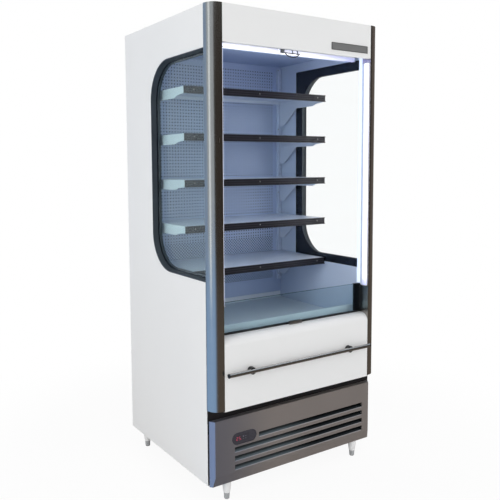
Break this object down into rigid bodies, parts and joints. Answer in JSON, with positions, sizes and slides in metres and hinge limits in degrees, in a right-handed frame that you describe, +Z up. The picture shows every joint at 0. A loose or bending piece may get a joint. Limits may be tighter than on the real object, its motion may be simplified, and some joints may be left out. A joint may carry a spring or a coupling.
{
  "type": "open multideck display fridge",
  "caption": "Open-front multideck display fridge with glass side windows, hooked shelves with price rails, front glass, night curtain, bumper rail, slotted base grille and legs",
  "frame": {"origin": "on the floor, under the middle of the whole outline", "axes": "X across the front, Y from the customer to the back, Z up"},
  "size_m": [0.9, 0.81, 2],
  "materials": {
    "white_paint": "gloss",
    "liner_paint": "satin",
    "back_zinc": "matte",
    "bronze_metal": "satin",
    "grille_metal": "satin",
    "black_metal": "satin",
    "bare_steel": "satin",
    "rail_steel": "satin",
    "bright_steel": "satin",
    "badge_metal": "satin",
    "black_plastic": "matte",
    "rail_plastic": "gloss",
    "controller_plastic": "gloss",
    "white_plastic": "matte",
    "lamp_plastic": "gloss",
    "rubber_black": "matte",
    "insulation": "matte",
    "clear_glass": "gloss",
    "curtain_film": "matte",
    "aluminium": "satin",
    "compressor_paint": "gloss",
    "foot_plastic": "matte",
    "fan_plastic": "matte"
  },
  "bodies": {
    "cabinet": {"cabinet_foam": "insulation", "side_panel_left": "white_paint", "side_panel_right": "white_paint", "side_liner_left": "liner_paint", "side_liner_right": "liner_paint", "inner_liner": "liner_paint", "roof_panel": "white_paint", "back_panel": "back_zinc", "window_glass_left": "clear_glass", "window_glass_right": "clear_glass", "window_gaskets": "rubber_black", "corner_post_left": "bronze_metal", "corner_post_right": "bronze_metal", "header_panel": "white_paint", "badge_plate": "badge_metal", "led_lamps": "lamp_plastic", "honeycomb": "white_plastic", "curtain_cassette": "aluminium", "curtain_web": "curtain_film", "curtain_catch": "bare_steel", "front_glass": "clear_glass", "glass_frame": "black_plastic", "bumper_panel": "white_paint", "bumper_rail": "rail_steel", "rail_fittings": "black_plastic", "recess_panel": "black_metal", "base_pan": "bare_steel", "leg_bodies": "bright_steel", "compressor": "compressor_paint", "condenser_coil": "aluminium", "fan_shroud": "bare_steel", "drain_pan": "black_plastic", "evaporator_coil": "aluminium", "fan_plate": "bare_steel", "power_inlet": "black_plastic", "duct_panel": "liner_paint", "shelf_uprights": "liner_paint"},
    "curtain": {"curtain_bar": "aluminium"},
    "ring": {"pull_ring": "bare_steel"},
    "roller": {"curtain_roller": "aluminium"},
    "grille": {"base_grille": "grille_metal", "controller": "controller_plastic"},
    "key": {"controller_key": "controller_plastic"},
    "condenser_rotor": {"condenser_fan": "fan_plastic"},
    "evaporator_rotor": {"evaporator_fan": "fan_plastic"},
    "deck": {"deck_pan": "liner_paint"},
    "front_left_foot": {"foot_front_left": "foot_plastic"},
    "front_right_foot": {"foot_front_right": "foot_plastic"},
    "rear_left_foot": {"foot_rear_left": "foot_plastic"},
    "rear_right_foot": {"foot_rear_right": "foot_plastic"},
    "shelf_1_set": {"shelf_1": "liner_paint", "price_rail_1": "rail_plastic"},
    "shelf_2_set": {"shelf_2": "liner_paint", "price_rail_2": "rail_plastic"},
    "shelf_3_set": {"shelf_3": "liner_paint", "price_rail_3": "rail_plastic"},
    "shelf_4_set": {"shelf_4": "liner_paint", "price_rail_4": "rail_plastic"},
    "shelf_5_set": {"shelf_5": "liner_paint", "price_rail_5": "rail_plastic"}
  },
  "joints": [
    {"name": "curtain_pull", "type": "slide", "parent": "cabinet", "child": "curtain", "axis": [0, -0.0203, -0.9998], "range_m": [0, 1.1397], "stiffness_N_per_m": 5, "springref_m": -1.6, "deforming": ["curtain_web"]},
    {"name": "curtain_roll", "type": "hinge", "parent": "cabinet", "child": "roller", "pos_m": [0, -0.2852, 1.923], "axis": [1, 0, 0], "range_deg": [0, 2920]},
    {"name": "ring_swing", "type": "hinge", "parent": "curtain", "child": "ring", "pos_m": [0, -0.3084, 1.852], "axis": [-1, 0, 0], "range_deg": [0, 80]},
    {"name": "grille_pull", "type": "slide", "parent": "cabinet", "child": "grille", "axis": [0, -1, 0], "range_m": [0, 0.1]},
    {"name": "key_press", "type": "slide", "parent": "grille", "child": "key", "axis": [0, 1, 0], "range_m": [0, 0.0015], "stiffness_N_per_m": 600},
    {"name": "condenser_fan_spin", "type": "hinge", "parent": "cabinet", "child": "condenser_rotor", "pos_m": [-0.155, -0.2128, 0.205], "axis": [0, 1, 0], "continuous": true},
    {"name": "evaporator_fan_spin", "type": "hinge", "parent": "cabinet", "child": "evaporator_rotor", "pos_m": [0, -0.185, 0.548], "axis": [0, 1, 0], "continuous": true},
    {"name": "deck_lift", "type": "slide", "parent": "cabinet", "child": "deck", "axis": [0, 0, 1], "range_m": [0, 0.06]},
    {"name": "shelf_1_pull", "type": "slide", "parent": "cabinet", "child": "shelf_1_set", "axis": [0, -1, 0], "range_m": [0, 0.15]},
    {"name": "shelf_2_pull", "type": "slide", "parent": "cabinet", "child": "shelf_2_set", "axis": [0, -1, 0], "range_m": [0, 0.15]},
    {"name": "shelf_3_pull", "type": "slide", "parent": "cabinet", "child": "shelf_3_set", "axis": [0, -1, 0], "range_m": [0, 0.15]},
    {"name": "shelf_4_pull", "type": "slide", "parent": "cabinet", "child": "shelf_4_set", "axis": [0, -1, 0], "range_m": [0, 0.15]},
    {"name": "shelf_5_pull", "type": "slide", "parent": "cabinet", "child": "shelf_5_set", "axis": [0, -1, 0], "range_m": [0, 0.15]},
    {"name": "foot_front_left_screw", "type": "hinge", "parent": "cabinet", "child": "front_left_foot", "pos_m": [-0.355, -0.321, 0.014], "axis": [0, 0, -1], "range_deg": [0, 4320]},
    {"name": "foot_front_right_screw", "type": "hinge", "parent": "cabinet", "child": "front_right_foot", "pos_m": [0.355, -0.321, 0.014], "axis": [0, 0, -1], "range_deg": [0, 4320]},
    {"name": "foot_rear_left_screw", "type": "hinge", "parent": "cabinet", "child": "rear_left_foot", "pos_m": [-0.41, 0.315, 0.014], "axis": [0, 0, -1], "range_deg": [0, 4320]},
    {"name": "foot_rear_right_screw", "type": "hinge", "parent": "cabinet", "child": "rear_right_foot", "pos_m": [0.41, 0.315, 0.014], "axis": [0, 0, -1], "range_deg": [0, 4320]}
  ],
  "couplings": [
    {"joint": "curtain_roll", "follows": "curtain_pull", "rad_per_m": 44.643}
  ]
}
